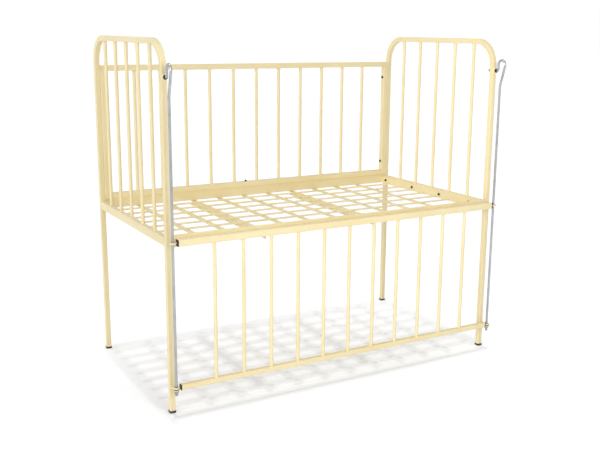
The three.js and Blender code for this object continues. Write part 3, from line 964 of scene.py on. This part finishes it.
class COT_OT_bolts(CotOperator):
    """Joining bolts of the base, the back side's stiles and its lower rail"""

    bl_idname = "cot.bolts"
    bl_label = "Joining Bolts"

    def build(self, s):
        low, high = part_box("base_frame")
        middle = (low + high) / 2
        level = high.z - s.end_drop - s.end_bolt_drop
        bm = start()
        for y in s.end_bolts:
            self.head(bm, s, (low.x + s.base_bar, middle.y + y, level), "+x")
            self.head(bm, s, (high.x - s.base_bar, middle.y + y, level), "-x")
        piece(bm, "bolts_base_ends", FRAME_BODY, "dark_steel")
        bm = start()
        for node, towards in (("back_left_stile", "+x"), ("back_right_stile", "-x")):
            low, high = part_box(node)
            x = high.x if towards == "+x" else low.x
            for z in (low.z + s.stile_bolt_rise, high.z - s.stile_bolt_drop):
                self.head(bm, s, (x, middle_of(node).y, z), towards)
        piece(bm, "bolts_stiles", FRAME_BODY, "dark_steel")
        bm = start()
        rail = middle_of("back_low_rail")
        rail_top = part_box("back_low_rail")[1].z
        self.head(bm, s, (rail.x + s.rail_bolt, rail.y, rail_top), "+z")
        piece(bm, "bolt_back_rail", FRAME_BODY, "dark_steel")

    def head(self, bm, s, place, towards):
        """A washer, a six-sided head and the shank's end standing out of it."""
        rim, soft = 0.62 * s.small_bolt, 0.0003
        washer_top, head_top, tip = 0.0011, 0.0047, 0.0065
        shank, point_width = 0.0024, 0.0021
        base = [(0, 0), (rim, 0), (rim, washer_top - soft), (rim - soft, washer_top), (0, washer_top)]
        lathe(bm, base, place, towards, 20)
        hexagon(bm, s.small_bolt, washer_top, head_top, place, towards)
        end = [(0, head_top), (shank, head_top), (point_width, tip - soft), (0, tip)]
        lathe(bm, end, place, towards, 14)


class COT_OT_welds(CotOperator):
    """Fillet welds where rails meet posts and stiles"""

    bl_idname = "cot.welds"
    bl_label = "Weld Beads"

    def build(self, s):
        bm = start()
        for side, _ in SIDES:
            self.ends(bm, s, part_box(f"{side}_end_rail"), 1)
        for node in ("back_low_rail", "back_top_rail"):
            self.ends(bm, s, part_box(node), 0)
        for node in ("back_left_stile", "back_right_stile"):
            self.ends(bm, s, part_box(node), 2)
        piece(bm, "weld_beads", FRAME_BODY, "cream_enamel")

    def ends(self, bm, s, box, axis):
        """Beads along the four edges of both ends of a rail."""
        low, high = box
        others = [i for i in range(3) if i != axis]
        for end in (low[axis], high[axis]):
            for fixed, moving in (others, others[::-1]):
                for place in (low[fixed], high[fixed]):
                    first, last = Vector(low), Vector(high)
                    for tip in (first, last):
                        tip[axis] = end
                        tip[fixed] = place
                    first[moving] = low[moving] + s.corner
                    last[moving] = high[moving] - s.corner
                    bead(bm, first, last, s.bead * THIN_BEAD)


class COT_OT_stage(CotOperator):
    """Pale floor, soft lamps and the camera"""

    bl_idname = "cot.stage"
    bl_label = "Stage"

    def execute(self, context):
        stage = context.scene.cot_stage
        self.floor(context, stage)
        self.world(context, stage)
        self.lamps(context, stage)
        self.camera(context, stage)
        context.scene.view_settings.view_transform = "Standard"
        return {"FINISHED"}

    def seen(self, f):
        """1 for rays that show the background: straight, mirrored or through glass."""
        path = "ShaderNodeLightPath"
        camera = f.node(path, output="Is Camera Ray")
        glossy = f.node(path, output="Is Glossy Ray")
        clear = f.node(path, output="Is Transmission Ray")
        return f.node("ShaderNodeClamp", inputs={"Value": camera + glossy + clear})

    def floor(self, context, stage):
        material = bpy.data.materials.new("studio_floor")
        f = Finish(material)
        plain = f.node("ShaderNodeBsdfDiffuse", inputs={"Color": stage.floor})
        place = f.node("ShaderNodeTexCoord", output="Object")
        ends = {0: place, 1: stage.near_middle}
        away = f.node("ShaderNodeVectorMath", {"operation": "DISTANCE"}, ends, "Value")
        lift = f.node("ShaderNodeMapRange", {"interpolation_type": "SMOOTHSTEP"}, {
            "Value": away,
            "From Min": stage.near_floor,
            "From Max": stage.far_floor,
            "To Min": stage.floor_glow,
            "To Max": stage.far_glow,
        })
        glow = f.node("ShaderNodeEmission", inputs={"Color": (1, 1, 1), "Strength": self.seen(f) * lift})
        both = f.node("ShaderNodeAddShader", inputs={0: plain, 1: glow})
        f.node("ShaderNodeOutputMaterial", inputs={"Surface": both})
        bm = bmesh.new()
        level = Matrix.Translation((0, 0, -FLOOR_GAP))
        bmesh.ops.create_grid(bm, x_segments=1, y_segments=1, size=FLOOR_REACH, matrix=level)
        mesh = bpy.data.meshes.new("studio_floor")
        bm.to_mesh(mesh)
        bm.free()
        mesh.materials.append(material)
        obj = bpy.data.objects.new("studio_floor", mesh)
        context.scene.collection.objects.link(obj)

    def world(self, context, stage):
        world = bpy.data.worlds.new("studio_air")
        context.scene.world = world
        f = Finish(world)
        strength = stage.ambient + self.seen(f) * (1 - stage.ambient)
        sky = f.node("ShaderNodeBackground", inputs={"Color": (1, 1, 1), "Strength": strength})
        f.node("ShaderNodeOutputWorld", inputs={"Surface": sky})

    def lamps(self, context, stage):
        self.lamp(context, "soft_left", stage.key, stage.key_blur, stage.key_heading)
        lean, down = Vector(stage.top_lean), Vector((0, 0, -1))
        self.lamp(context, "light_above_1", stage.top, stage.top_blur, down - lean)
        self.lamp(context, "light_above_2", stage.top, stage.top_blur, down + lean)
        self.panel(context, stage)

    def lamp(self, context, name, strength, blur, heading):
        light = bpy.data.lights.new(name, "SUN")
        light.energy = strength
        light.angle = blur
        obj = bpy.data.objects.new(name, light)
        obj.matrix_world = Vector(heading).to_track_quat("-Z", "Y").to_matrix().to_4x4()
        context.scene.collection.objects.link(obj)

    def panel(self, context, stage):
        light = bpy.data.lights.new("panel_front", "AREA")
        light.energy = stage.front
        light.size = stage.front_size
        obj = bpy.data.objects.new("panel_front", light)
        place = Vector(stage.front_place)
        turn = (Vector(stage.front_aim) - place).to_track_quat("-Z", "Y").to_matrix().to_4x4()
        obj.matrix_world = Matrix.Translation(place) @ turn
        obj.visible_camera = False
        obj.visible_glossy = False
        context.scene.collection.objects.link(obj)

    def camera(self, context, stage):
        lens = bpy.data.cameras.new("camera")
        lens.sensor_fit = "HORIZONTAL"
        lens.sensor_width = SENSOR_WIDTH
        lens.lens = stage.lens
        lens.shift_x, lens.shift_y = stage.shift
        lens.clip_end = CAMERA_REACH
        a, e, r = stage.azimuth, stage.elevation, stage.roll
        back = Vector((math.sin(a) * math.cos(e), -math.cos(a) * math.cos(e), math.sin(e)))
        right = Vector((math.cos(a), math.sin(a), 0))
        up = back.cross(right)
        across = right * math.cos(r) + up * math.sin(r)
        upward = up * math.cos(r) - right * math.sin(r)
        turn = Matrix((across, upward, back)).transposed().to_4x4()
        obj = bpy.data.objects.new("camera", lens)
        obj.matrix_world = Matrix.Translation(stage.camera_place) @ turn
        context.scene.collection.objects.link(obj)
        context.scene.camera = obj


PARTS = (
    COT_OT_hoops, COT_OT_bars, COT_OT_rails, COT_OT_drop_rails, COT_OT_plugs, COT_OT_rods,
    COT_OT_rod_fixings, COT_OT_base, COT_OT_bolts, COT_OT_welds, COT_OT_stage,
)


class COT_PT_panel(bpy.types.Panel):
    """Builders and settings of the cot"""

    bl_label = "Hospital Cot"
    bl_idname = "COT_PT_panel"
    bl_space_type = "VIEW_3D"
    bl_region_type = "UI"
    bl_category = "Cot"

    def draw(self, context):
        for part in PARTS:
            self.layout.operator(part.bl_idname)
        for group in (context.scene.cot_sizes, context.scene.cot_colours, context.scene.cot_stage):
            for key in group.bl_rna.properties.keys():
                if key not in {"rna_type", "name"}:
                    self.layout.prop(group, key)


CLASSES = (CotSizes, CotColours, CotStage, *PARTS, COT_PT_panel)


def register():
    for cls in CLASSES:
        bpy.utils.register_class(cls)
    bpy.types.Scene.cot_sizes = PointerProperty(type=CotSizes)
    bpy.types.Scene.cot_colours = PointerProperty(type=CotColours)
    bpy.types.Scene.cot_stage = PointerProperty(type=CotStage)


def unregister():
    del bpy.types.Scene.cot_stage
    del bpy.types.Scene.cot_colours
    del bpy.types.Scene.cot_sizes
    for cls in reversed(CLASSES):
        bpy.utils.unregister_class(cls)


def main():
    register()
    bpy.ops.cot.hoops()
    bpy.ops.cot.bars()
    bpy.ops.cot.rails()
    bpy.ops.cot.drop_rails()
    bpy.ops.cot.plugs()
    bpy.ops.cot.rods()
    bpy.ops.cot.rod_fixings()
    bpy.ops.cot.base()
    bpy.ops.cot.bolts()
    bpy.ops.cot.welds()
    bpy.ops.cot.stage()


if __name__ == "__main__":
    main()
